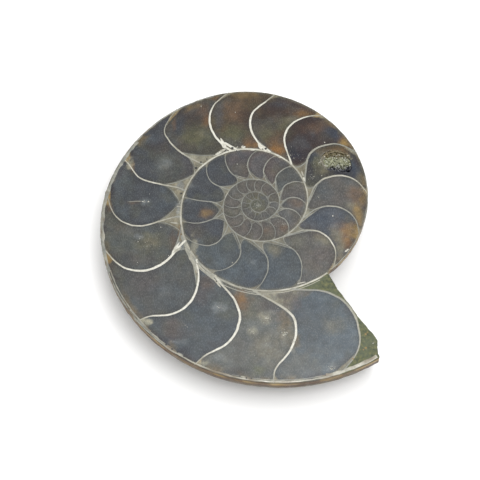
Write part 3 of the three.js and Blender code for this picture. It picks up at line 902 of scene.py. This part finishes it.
def outside_colours(places):
    """Worn shell: cream, tan and brown, striped along the rim and earthy near the middle."""
    x, y, z = places.T
    angle, _ = locate(x, y)
    lumps = np.array([noise.fractal(Vector(place) / 9, 1, 2, 4) for place in places])
    small = np.array([noise.fractal(Vector(place) / 2.5 + Vector((9, 9, 9)), 1, 2, 3) for place in places])
    depth = -z + 0.5 * small
    layers = ripple(angle / 7, -z * 1.6, 1, 9.5)
    blotches = ripple(angle / 8, -z * 0.5, 1, 4.5)
    coats = (
        ("earth", fade(0.05, 0.5, lumps) * 0.9),
        ("pale tan", fade(-0.1, -0.5, lumps) * 0.9),
        ("shell grey", fade(0.15, 0.6, small) * 0.5),
        ("ochre", fade(0.1, 0.5, depth) * fade(4.6, 3, depth) * 0.8),
        ("bark", fade(-0.05, 0.25, layers) * fade(5.4, 3.4, depth) * 0.75),
        ("dark earth", fade(2.1, 2.8, depth + blotches) * fade(4.8, 3.6, depth) * 0.6),
        ("beige", fade(0.9, 0.3, depth) * fade(-0.3, 0.1, blotches) * 0.8),
        ("dark earth", fade(17, 7, np.hypot(x, y)) * 0.75),
    )
    colours = np.tile(COLOURS["tan"], (len(x), 1))
    for name, amount in coats:
        colours = blend(colours, name, amount)
    return colours


def pocket_colours_and_shade(x, y, middle):
    """Brown grains at the top of the pocket, pale ones in the middle, blue-black painted shade below."""
    up = y - VUG_CENTRE[1] - POCKET_SLANT * (x - VUG_CENTRE[0]) + 1.1 * ripple(x, y, 1.6, 2.5)
    # Start from blue-black, the painted shade low in the pocket; the pale and brown colours cover it higher
    # up.
    colours = np.tile(COLOURS["ink"], (len(x), 1))
    colours = colours + (middle - colours) * fade(-2.1, -0.9, up)[:, None]
    return colours + (POCKET_TOP - colours) * (fade(0.9, 2.2, up) * 0.85)[:, None]


def paint_body(body):
    """Stores the body's colours and its mossy and flecked places."""
    places = corners_of(body.data)
    on_face = places[:, 2] > -2 * FACE_DEPTH
    stains = np.zeros((len(places), 3))
    masks = np.zeros((len(places), 3))
    stains[~on_face] = outside_colours(places[~on_face])
    apart = np.hypot(places[:, 0] - VUG_CENTRE[0], places[:, 1] - VUG_CENTRE[1])
    in_pocket = ~on_face & (apart < VUG_REACH) & (places[:, 2] > VUG_FLOOR)
    # The pocket's walls, with painted shade in their lower part.
    stains[in_pocket] = pocket_colours_and_shade(places[in_pocket, 0], places[in_pocket, 1], COLOURS["tan"])
    stains[on_face], masks[on_face] = face_colours(places[on_face, 0], places[on_face, 1])
    colour_mesh(body.data, stains)
    colour_mesh(body.data, masks, "masks")


body = make_body()
roughen(body)
cut_fine(body)
paint_body(body)
use_only(body)
bpy.ops.object.shade_smooth_by_angle(angle=math.radians(BODY_CREASE))
settle(body, "ammonite_half")


# Shell lines in the cut face. Strokes, grains and pits stand this far above the other lines.
LINE_CREASE = 50
STROKE_LIFT = 0.015
GRAIN_LIFT = 0.02
PIT_LIFT = 0.03
SHELL_LINE = stained_line()


def inlay(name, lines, lift=0):
    """Thin lines of shell set in the cut face: each has points, half-widths and colours."""
    curve = bpy.data.curves.new(name, "CURVE")
    curve.dimensions = "3D"
    curve.bevel_depth = 1
    curve.bevel_resolution = 1
    curve.use_fill_caps = True
    for points, widths, _ in lines:
        spline = curve.splines.new("POLY")
        spline.points.add(len(points) - 1)
        for knot, (px, py), width in zip(spline.points, points, widths):
            knot.co = (px, py, 0, 1)
            knot.radius = width
    piece = bpy.data.objects.new(name, curve)
    bpy.context.collection.objects.link(piece)
    use_only(piece)
    bpy.ops.object.convert(target="MESH")
    piece = bpy.context.object
    corners = corners_of(piece.data)
    corners[:, 2] = corners[:, 2] * LINE_BULGE + lift
    set_corners(piece.data, corners)
    nearest = tree_of([points for points, _, _ in lines])
    colours = np.concatenate([colour for _, _, colour in lines])
    colour_mesh(piece.data, colours[[nearest.find((px, py, 0))[1] for px, py, _ in corners]])
    piece.data.materials.append(SHELL_LINE)
    bpy.ops.object.shade_smooth_by_angle(angle=math.radians(LINE_CREASE))
    return settle(piece)


def along(points, size, seed):
    """Noise along a line, with swings about size millimetres long."""
    return ripple(points[:, 0], points[:, 1], size, seed)


def wobbled(points, seed, reach=0.09):
    """Points moved a little aside, as a grown line is never quite fair."""
    return points + reach * np.column_stack([along(points, 2.4, seed), along(points, 2.4, seed + 50)])


def shell_shade(brightness):
    """A colour between tan and cream for each brightness from 0 to 1."""
    steps = np.array([COLOURS[name] for name in ("stone grey", "shell grey", "beige", "cream")])
    levels = np.clip(brightness, 0, 1) * (len(steps) - 1)
    return np.column_stack([np.interp(levels, range(len(steps)), steps[:, part]) for part in range(3)])


# Each septum of the last whorl, from the aperture inwards: its half-width, and its brightness
# at the inner wall, halfway and at the outer wall.
LAST_LINES = (
    (0.33, 0.42, 0.6, 0.4), (0.36, 0.5, 1.05, 0.42), (0.37, 0.8, 1.15, 0.45), (0.34, 0.95, 1.15, 0.5),
    (0.38, 0.95, 1.2, 0.45), (0.24, 0.42, 0.8, 0.42), (0.24, 0.42, 0.8, 0.85), (0.25, 0.5, 0.7, 0.35),
    (0.34, 1, 1.15, 0.5), (0.34, 1, 1.15, 0.45), (0.3, 0.9, 1.1, 0.5), (0.3, 0.4, 0.5, 0.3),
    (0.27, 0.4, 0.72, 0.6), (0.22, 0.42, 0.5, 0.35), (0.24, 0.38, 0.85, 0.42),
)
SECOND_LINE = (0.17, 0.34, 0.42, 0.34)
THIRD_LINE = (0.11, 0.24, 0.3, 0.22)
CORE_LINE = (0.08, 0.14, 0.2, 0.14)


def line_of(index):
    """A septum's half-width and brightness."""
    if index < LAST_COUNT:
        return LAST_LINES[index]
    if index < SECOND_COUNT:
        return SECOND_LINE
    return THIRD_LINE if index < THIRD_COUNT else CORE_LINE


def septum_line(index):
    """A septum's line: thin towards both ends, with a foot on the inner wall."""
    half_width, inner_light, middle_light, outer_light = line_of(index)
    points = septum_points(SEPTA[index], 44)
    share = np.linspace(0, 1, len(points))
    swell = 0.36 + 0.64 * np.sin(np.pi * np.clip(share * 0.84 + 0.16, 0, 1))
    foot = 1 + 0.7 * fade(0.07, 0, share)
    widths = half_width * swell * foot * (1 + 0.18 * along(points, 2.2, index))
    light = np.interp(share, (0, 0.45, 0.7, 1), (inner_light, middle_light, middle_light, outer_light))
    return wobbled(points, index), widths, shell_shade(light + 0.12 * along(points, 1.6, index + 9))


def wall_line(start, end, half_widths, lights, seed, shift=0):
    """A stretch of the whorl wall, with uneven half-widths and brightness."""
    points = wall_points(start, end, 2.5, shift)
    s = np.linspace(0, 1, len(points))
    widths = np.interp(s, (0, 1), half_widths) * (1 + 0.28 * along(points, 2.6, seed))
    light = np.interp(s, (0, 1), lights) + 0.22 * along(points, 3, seed + 4)
    return wobbled(points, seed), widths, shell_shade(light)


inlay("septa", [septum_line(index) for index in range(len(SEPTA))])

# Stretches of the whorl wall: from angle, to angle, half-widths and brightness at both ends,
# and how far the stretch is shifted outwards.
WALL_STRETCHES = (
    (COIL_END, -720, (0.08, 0.13), (0.2, 0.36), 0),
    (-722, -410, (0.13, 0.17), (0.36, 0.44), 0),
    (-412, -300, (0.19, 0.23), (0.5, 0.6), 0),
    (-302, -215, (0.24, 0.27), (0.85, 0.8), 0),
    (-217, -160, (0.25, 0.25), (0.66, 0.6), 0),
    (-162, -100, (0.34, 0.3), (0.5, 0.56), 0.1),
    (-156, -118, (0.3, 0.4), (0.4, 0.52), 0.8),
    (-136, -84, (0.14, 0.14), (0.6, 0.5), 1.35),
    (-102, -46, (0.22, 0.22), (0.6, 0.8), 0),
    (-98, -52, (0.1, 0.13), (0.5, 0.7), 0.75),
)
inlay("whorl_wall", [
    wall_line(start, end, widths, lights, 2.5 + step, shift)
    for step, (start, end, widths, lights, shift) in enumerate(WALL_STRETCHES)
])


def corner_lines():
    """Thin grey lines where the filled corners meet all chambers but the two outermost."""
    found = []
    for index in range(2, len(SEPTA)):
        half_width = 0.5 * line_of(index)[0]
        for _, corner in corners_of_septum(index, (0,)):
            points = corner_curve(*corner)
            swell = np.sin(np.linspace(0.3, math.pi - 0.3, len(points))) ** 0.5
            widths = half_width * swell * (1 + 0.4 * along(points, 1.4, index))
            found.append((points, widths, shell_shade(0.3 + 0.25 * along(points, 2, index + 0.5))))
    return found


inlay("corner_lines", corner_lines())

# The shell's layers round the outer rim, seen cut through: from angle, to angle, how far
# inside the rim, half-width and brightness.
RIM_LAYERS = (
    (110, 152, 0.3, 0.2, 0.42),
    (150, 206, 0.62, 0.5, 0.42),
    (186, 244, 0.3, 0.2, 0.45),
    (206, 232, 1.05, 0.14, 0.5),
    (222, 246, 0.8, 0.26, 0.4),
    (240, 305.4, 0.45, 0.22, 0.74),
    (262, 296, 1.0, 0.16, 0.42),
    (290, 305.6, 0.8, 0.5, 0.8),
    (-44, 16, 0.25, 0.09, 0.5),
)


def rim_lines():
    """The rim's layers as broken, uneven lines."""
    found = []
    for step, (start, end, inside, half_width, light) in enumerate(RIM_LAYERS):
        points = wall_points(start, end, 1.2, -inside)
        swing = along(points, 6, 13 + step)
        rough = along(points, 1.8, 33 + step)
        widths = half_width * np.clip(1 + 0.8 * rough + 0.5 * swing, 0.12, 1.5)
        colours = shell_shade(light + 0.3 * along(points, 3.4, 23 + step))
        colours = blend(colours, "earth", 0.6 * fade(0.1, 0.45, swing))
        found.append((wobbled(points, step, 0.14), widths, colours))
    return found


inlay("rim_shell", rim_lines())


# Short strokes of shell: both ends' places and half-widths, and the brightness.
STROKES = (
    (-11.9, 23.7, -10.3, 19.9, 0.3, 0.95, 1), (-11.1, 22.2, -6.5, 19.5, 0.4, 0.4, 1),
    (-14.3, 17.2, -10.1, 19.7, 0.3, 0.5, 0.75), (-5.2, 20.5, -3.7, 20.5, 0.5, 0.4, 0.9),
    (-3.3, 19.5, -0.1, 19.6, 0.25, 0.35, 0.9), (0.3, 22.2, 1.4, 19.5, 0.3, 0.75, 1),
    (0.9, 21.1, 4.5, 18.6, 0.35, 0.35, 1), (6.4, 17.2, 7.7, 16.5, 0.3, 0.2, 0.6),
    (-27.2, -17.2, -24.9, -13.2, 0.5, 0.3, 0.95), (-27, -16.8, -24.1, -14.8, 0.5, 0.35, 0.6),
    (-41.6, 0.9, -36.9, 1.2, 0.08, 0.14, 0.5), (-21.5, -17, -19.1, -23.4, 0.7, 0.4, 0.62),
    (-22.9, -15, -20.3, -20.4, 0.5, 0.5, 0.5), (-14, -25.6, -11.6, -28.6, 0.3, 0.3, 0.8),
    (12.4, -27.3, 15.1, -26.7, 0.16, 0.16, 0.8), (-25.9, -0.5, -24.5, -0.7, 0.14, 0.1, 0.6),
    (-26.1, -2.5, -24.4, -2.6, 0.14, 0.1, 0.6), (-25.7, -4.4, -24.3, -4.4, 0.14, 0.1, 0.55),
    (-27.9, -6.3, -25.4, -6.6, 0.2, 0.35, 0.5), (27.7, -16.5, 29, -15.5, 0.25, 0.32, 0.9),
    (29.1, 17.4, 30, 17.5, 0.14, 0.1, 1), (14.9, 9.7, 15.4, 7.9, 0.28, 0.24, 0.85),
    (14.3, 11.8, 14.8, 10.1, 0.2, 0.28, 0.7), (-7.5, 19, -6.2, 20.8, 0.12, 0.12, 0.7),
    (35.6, -47.4, 36.4, -47, 0.14, 0.1, 0.8),
)

# Bright grains in the face: place and reach.
GRAIN_PLACES = (
    (-18.3, 35.2, 0.22), (-7.1, 33, 0.2), (21.9, 22.1, 0.3), (20.8, 10.2, 0.22), (29.3, 17.4, 0.16),
    (21.8, 16.8, 0.22), (25.7, 16.3, 0.2), (22, 13.7, 0.25), (-36.7, 1, 0.3), (-34.9, 1, 0.34),
    (-34.6, 3.7, 0.14), (-38, -13, 0.24), (-37.5, -11.9, 0.15), (-30.8, -7.9, 0.24), (-38, -20.1, 0.16),
    (-28.2, -17.7, 0.18), (4.5, 19.3, 0.14), (5.1, 17.9, 0.12), (8.7, 16.1, 0.12), (11.2, 20.4, 0.12),
    (14.8, 16.3, 0.12), (24.1, -4, 0.34), (11.9, 12.2, 0.12), (-12.6, -35, 0.16), (-6.5, 14.3, 0.2),
)

# Crumbly places: place, spread, how many grains and their reach.
CRUMBS = (
    (2.8, -39.1, 1, 18, 0.26), (-2.1, -43.4, 0.8, 12, 0.24), (8.2, -44.4, 1.1, 18, 0.26),
    (11.4, -46.4, 0.8, 10, 0.2), (22.8, -55.3, 1.1, 12, 0.22), (-11.8, -35.7, 1, 9, 0.16),
    (0, -0.2, 0.9, 22, 0.16), (-35.8, 1, 0.9, 8, 0.2), (-34.6, -13.4, 2, 22, 0.14),
    (22.6, -41.5, 1.8, 12, 0.14), (8.6, -7, 1.2, 14, 0.16), (19.6, 3, 0.7, 6, 0.18),
    (17.4, 9.6, 1.4, 16, 0.16), (11.2, 17.6, 2, 18, 0.12), (-22.4, -41.3, 0.6, 4, 0.18),
    (-7.8, -20.2, 0.4, 4, 0.18), (-4, 14.3, 1.6, 5, 0.12), (4.6, -36.8, 2.2, 14, 0.14),
    (20.4, 14.6, 0.9, 16, 0.2), (2.4, -49, 3, 16, 0.12),
)

# Yellow grains and small open pits: place and reach.
YELLOW_PLACES = (
    (33.6, -44.2, 0.6), (34.2, -43.6, 0.4), (33.6, -48.8, 0.6), (32.8, -49.4, 0.4), (29.5, -52.4, 0.5),
)
HOLE_PLACES = (
    (-8.1, 20.1, 0.5), (-10.3, 19.2, 0.26), (-9.4, 19.1, 0.24), (-4.5, 20.6, 0.26), (2.8, 19.8, 0.5),
    (-13.7, 17.6, 0.2), (-12.5, 18.3, 0.2), (-11.3, 18.8, 0.2), (-6.7, 19.2, 0.2), (-24.5, 3.9, 0.4),
    (-18.2, 15, 0.35), (-16.3, 16.1, 0.3), (-19.8, 12.9, 0.5), (-21.4, -15.8, 0.22), (-20.5, -18.6, 0.2),
    (-13, -26.5, 0.3), (22.9, -55.3, 0.26), (6.3, -46.2, 0.2), (7.2, -43.9, 0.14), (3.8, -41.5, 0.14),
    (10.7, -40.2, 0.16), (16, -38.9, 0.14), (16.9, -43.2, 0.14), (1.6, -49.5, 0.16), (-8.7, -48.2, 0.16),
    (-6, -38.4, 0.18), (-28.6, -47.7, 0.35), (-26.7, -49.2, 0.4), (-25, -50.1, 0.4), (-22.9, -51.5, 0.4),
    (-21.2, -52.4, 0.3), (-5.6, -58.2, 0.3), (-3.6, -58.7, 0.35), (-2.1, -58.8, 0.3), (-20, -52.9, 0.2),
)
DUST_COUNT = 240

# Grains round the pocket: from and to which angle and how far apart, and on which oval.
POCKET_EDGE = (10, 250, 1.6)
POCKET_HALF = (4.7, 3.5)


def stroke(start_x, start_y, end_x, end_y, first, last, light):
    """A short uneven stroke of shell."""
    s = np.linspace(0, 1, 7)[:, None]
    points = np.array((start_x, start_y)) * (1 - s) + np.array((end_x, end_y)) * s
    taper = 1 - 0.8 * np.abs(2 * s[:, 0] - 1) ** 3
    widths = np.interp(s[:, 0], (0, 1), (first, last)) * taper * (1 + 0.3 * along(points, 0.9, 3))
    return wobbled(points, 5, 0.2), widths, shell_shade(light + 0.25 * along(points, 1, 8))


def fleck(x, y, reach, shade):
    """A small irregular grain or pit of one colour."""
    turn = 7.3 * x + 3.1 * y
    step = 0.6 * reach * np.array((math.cos(turn), math.sin(turn)))
    middle = np.array((x, y))
    points = np.array([middle - step, middle, middle + 0.8 * step])
    return points, reach * np.array((0.35, 0.62, 0.3)), np.tile(shade, (3, 1))


def dust():
    """Tiny pale grains, thickest where the face is flecked or crumbly and round the pocket."""
    rng = np.random.default_rng(11)
    found = []
    for index in range(DUST_COUNT):
        x, y, half_x, half_y, _ = FLECKS[index % len(FLECKS)]
        px = x + 0.8 * half_x * rng.standard_normal()
        py = y + 0.8 * half_y * rng.standard_normal()
        light = rng.uniform(0.15, 0.6)
        found.append(fleck(px, py, rng.uniform(0.07, 0.17), shell_shade([light])[0]))
    for x, y, spread, count, reach in CRUMBS:
        for _ in range(count):
            px, py = rng.normal((x, y), spread / 2)
            shade = shell_shade([rng.uniform(0.35, 0.8)])[0]
            found.append(fleck(px, py, reach * rng.uniform(0.5, 1.3), shade))
    for turn in np.radians(np.arange(*POCKET_EDGE)):
        far = rng.normal(1, 0.05)
        px = VUG_CENTRE[0] + POCKET_HALF[0] * far * math.cos(turn)
        py = VUG_CENTRE[1] + POCKET_HALF[1] * far * math.sin(turn)
        # Grains on the pocket's lower edge take its painted shade.
        shade = pocket_colours_and_shade(np.array([px]), np.array([py]), COLOURS["tan"])[0]
        found.append(fleck(px, py, rng.uniform(0.2, 0.5), shade * rng.uniform(0.6, 1.3)))
    return found


inlay("shell_strokes", [stroke(*row) for row in STROKES], STROKE_LIFT)
grains = dust()
for places, name in ((GRAIN_PLACES, "cream"), (YELLOW_PLACES, "golden")):
    grains += [fleck(*place, COLOURS[name]) for place in places]
inlay("grains", grains, GRAIN_LIFT)
inlay("pits", [fleck(x, y, 1.4 * reach, COLOURS["pit"]) for x, y, reach in HOLE_PLACES], PIT_LIFT)


# Crystals in the open pocket
CRYSTAL_COUNT = 950
CRYSTAL_FLOOR = -2.9
BOWL_RISE = 1.7
CRYSTAL_RISE = 2
CRYSTAL_HALF = (5.3, 4)
CRYSTAL_HEIGHTS = (0.6, 1.2)
CRYSTAL_SINKS = (0.15, 0.7)
CRYSTAL_SIZES = (0.26, 0.5)
CRYSTAL_TAPER = 0.68
CRYSTAL_LEAN = 0.3
CRYSTAL_GREEN = seen(172, 173, 144)


def make_crystals():
    """Small blunt six-sided crystals, crowded in the pocket."""
    rng = np.random.default_rng(7)
    bpy.ops.object.select_all(action="DESELECT")
    copies = []
    for _ in range(CRYSTAL_COUNT):
        turn = rng.uniform(0, 2 * math.pi)
        far = math.sqrt(rng.uniform(0, 1))
        x = VUG_CENTRE[0] + CRYSTAL_HALF[0] * far * math.cos(turn)
        y = VUG_CENTRE[1] + CRYSTAL_HALF[1] * far * math.sin(turn)
        up = y - VUG_CENTRE[1] - POCKET_SLANT * (x - VUG_CENTRE[0])
        foot = CRYSTAL_FLOOR + BOWL_RISE * far ** 3
        rise = CRYSTAL_RISE * fade(-2.4, -0.4, up) * (1 - 0.6 * far ** 3)
        top = foot + rng.uniform(*CRYSTAL_HEIGHTS) + rise
        tall = min(top, -rng.uniform(*CRYSTAL_SINKS)) - foot
        size = rng.uniform(*CRYSTAL_SIZES)
        first_lean = rng.uniform(-CRYSTAL_LEAN, CRYSTAL_LEAN) - CRYSTAL_LEAN * far * math.sin(turn)
        second_lean = rng.uniform(-CRYSTAL_LEAN, CRYSTAL_LEAN) + CRYSTAL_LEAN * far * math.cos(turn)
        lean = Matrix.Rotation(first_lean, 4, "X") @ Matrix.Rotation(second_lean, 4, "Y")
        bpy.ops.mesh.primitive_cone_add(
            vertices=6, radius1=size, radius2=size * CRYSTAL_TAPER, depth=tall,
        )
        one = bpy.context.object
        one.data.transform(Matrix.Translation((x, y, foot + tall / 2)) @ lean)
        copies.append(one)
    use_only(copies[0])
    for one in copies:
        one.select_set(True)
    bpy.ops.object.join()
    crust = bpy.context.object
    crust.name = "pocket_crystals"
    crust.data.name = "pocket_crystals"
    corners = corners_of(crust.data)
    # Crystals low in the pocket get the blue-black painted shade too.
    colours = pocket_colours_and_shade(corners[:, 0], corners[:, 1], CRYSTAL_GREEN)
    colours = colours * (1 + 0.4 * ripple(corners[:, 0], corners[:, 1], 0.9, 6.5))[:, None]
    colour_mesh(crust.data, colours)
    crust.data.materials.append(crystal())
    return settle(crust, "vug_crystals")


make_crystals()

# Floor, lights and camera
FLOOR_SIZE = 6
STUDIO_LIGHT = 0.85
bpy.ops.object.select_all(action="DESELECT")
bpy.ops.mesh.primitive_plane_add(size=FLOOR_SIZE, location=(0, 0, 0))
floor = bpy.context.object
floor.name = "floor"
floor_finish = Finish("pale_floor")
floor.data.materials.append(floor_finish.surface({"Base Color": (0.96, 0.96, 0.96, 1), "Roughness": 0.9}))

bpy.context.scene.view_settings.view_transform = "Standard"
world = bpy.data.worlds.new("studio")
bpy.context.scene.world = world
world.use_nodes = True
world.node_tree.nodes["Background"].inputs["Color"].default_value = (1, 1, 1, 1)
world.node_tree.nodes["Background"].inputs["Strength"].default_value = STUDIO_LIGHT


def soft_light(name, place, size, power):
    """An area light that looks at the fossil."""
    data = bpy.data.lights.new(name, "AREA")
    data.size = size
    data.energy = power
    lamp = bpy.data.objects.new(name, data)
    bpy.context.collection.objects.link(lamp)
    lamp.location = place
    lamp.rotation_euler = (-Vector(place)).to_track_quat("-Z", "Y").to_euler()


soft_light("key", place=(0.2, 0, 0.85), size=0.6, power=4.8)
soft_light("back", place=(0, 0.85, 0.45), size=0.5, power=2.2)

LENS = 150
SENSOR = 36
CAMERA_DISTANCE = 636
CAMERA_ELEVATION = math.radians(67)
CAMERA_TARGET = Vector((-5.58, -12.36, 0))

camera_data = bpy.data.cameras.new("camera")
camera_data.lens = LENS
camera_data.sensor_width = SENSOR
camera = bpy.data.objects.new("camera", camera_data)
bpy.context.collection.objects.link(camera)
away = Vector((0, -math.cos(CAMERA_ELEVATION), math.sin(CAMERA_ELEVATION)))
look = (-away).to_track_quat("-Z", "Y").to_matrix().to_4x4()
camera.location = SETTLE @ (CAMERA_TARGET + CAMERA_DISTANCE * away)
camera.rotation_euler = (LEAN.to_matrix().to_4x4() @ look).to_euler()
bpy.context.scene.camera = camera
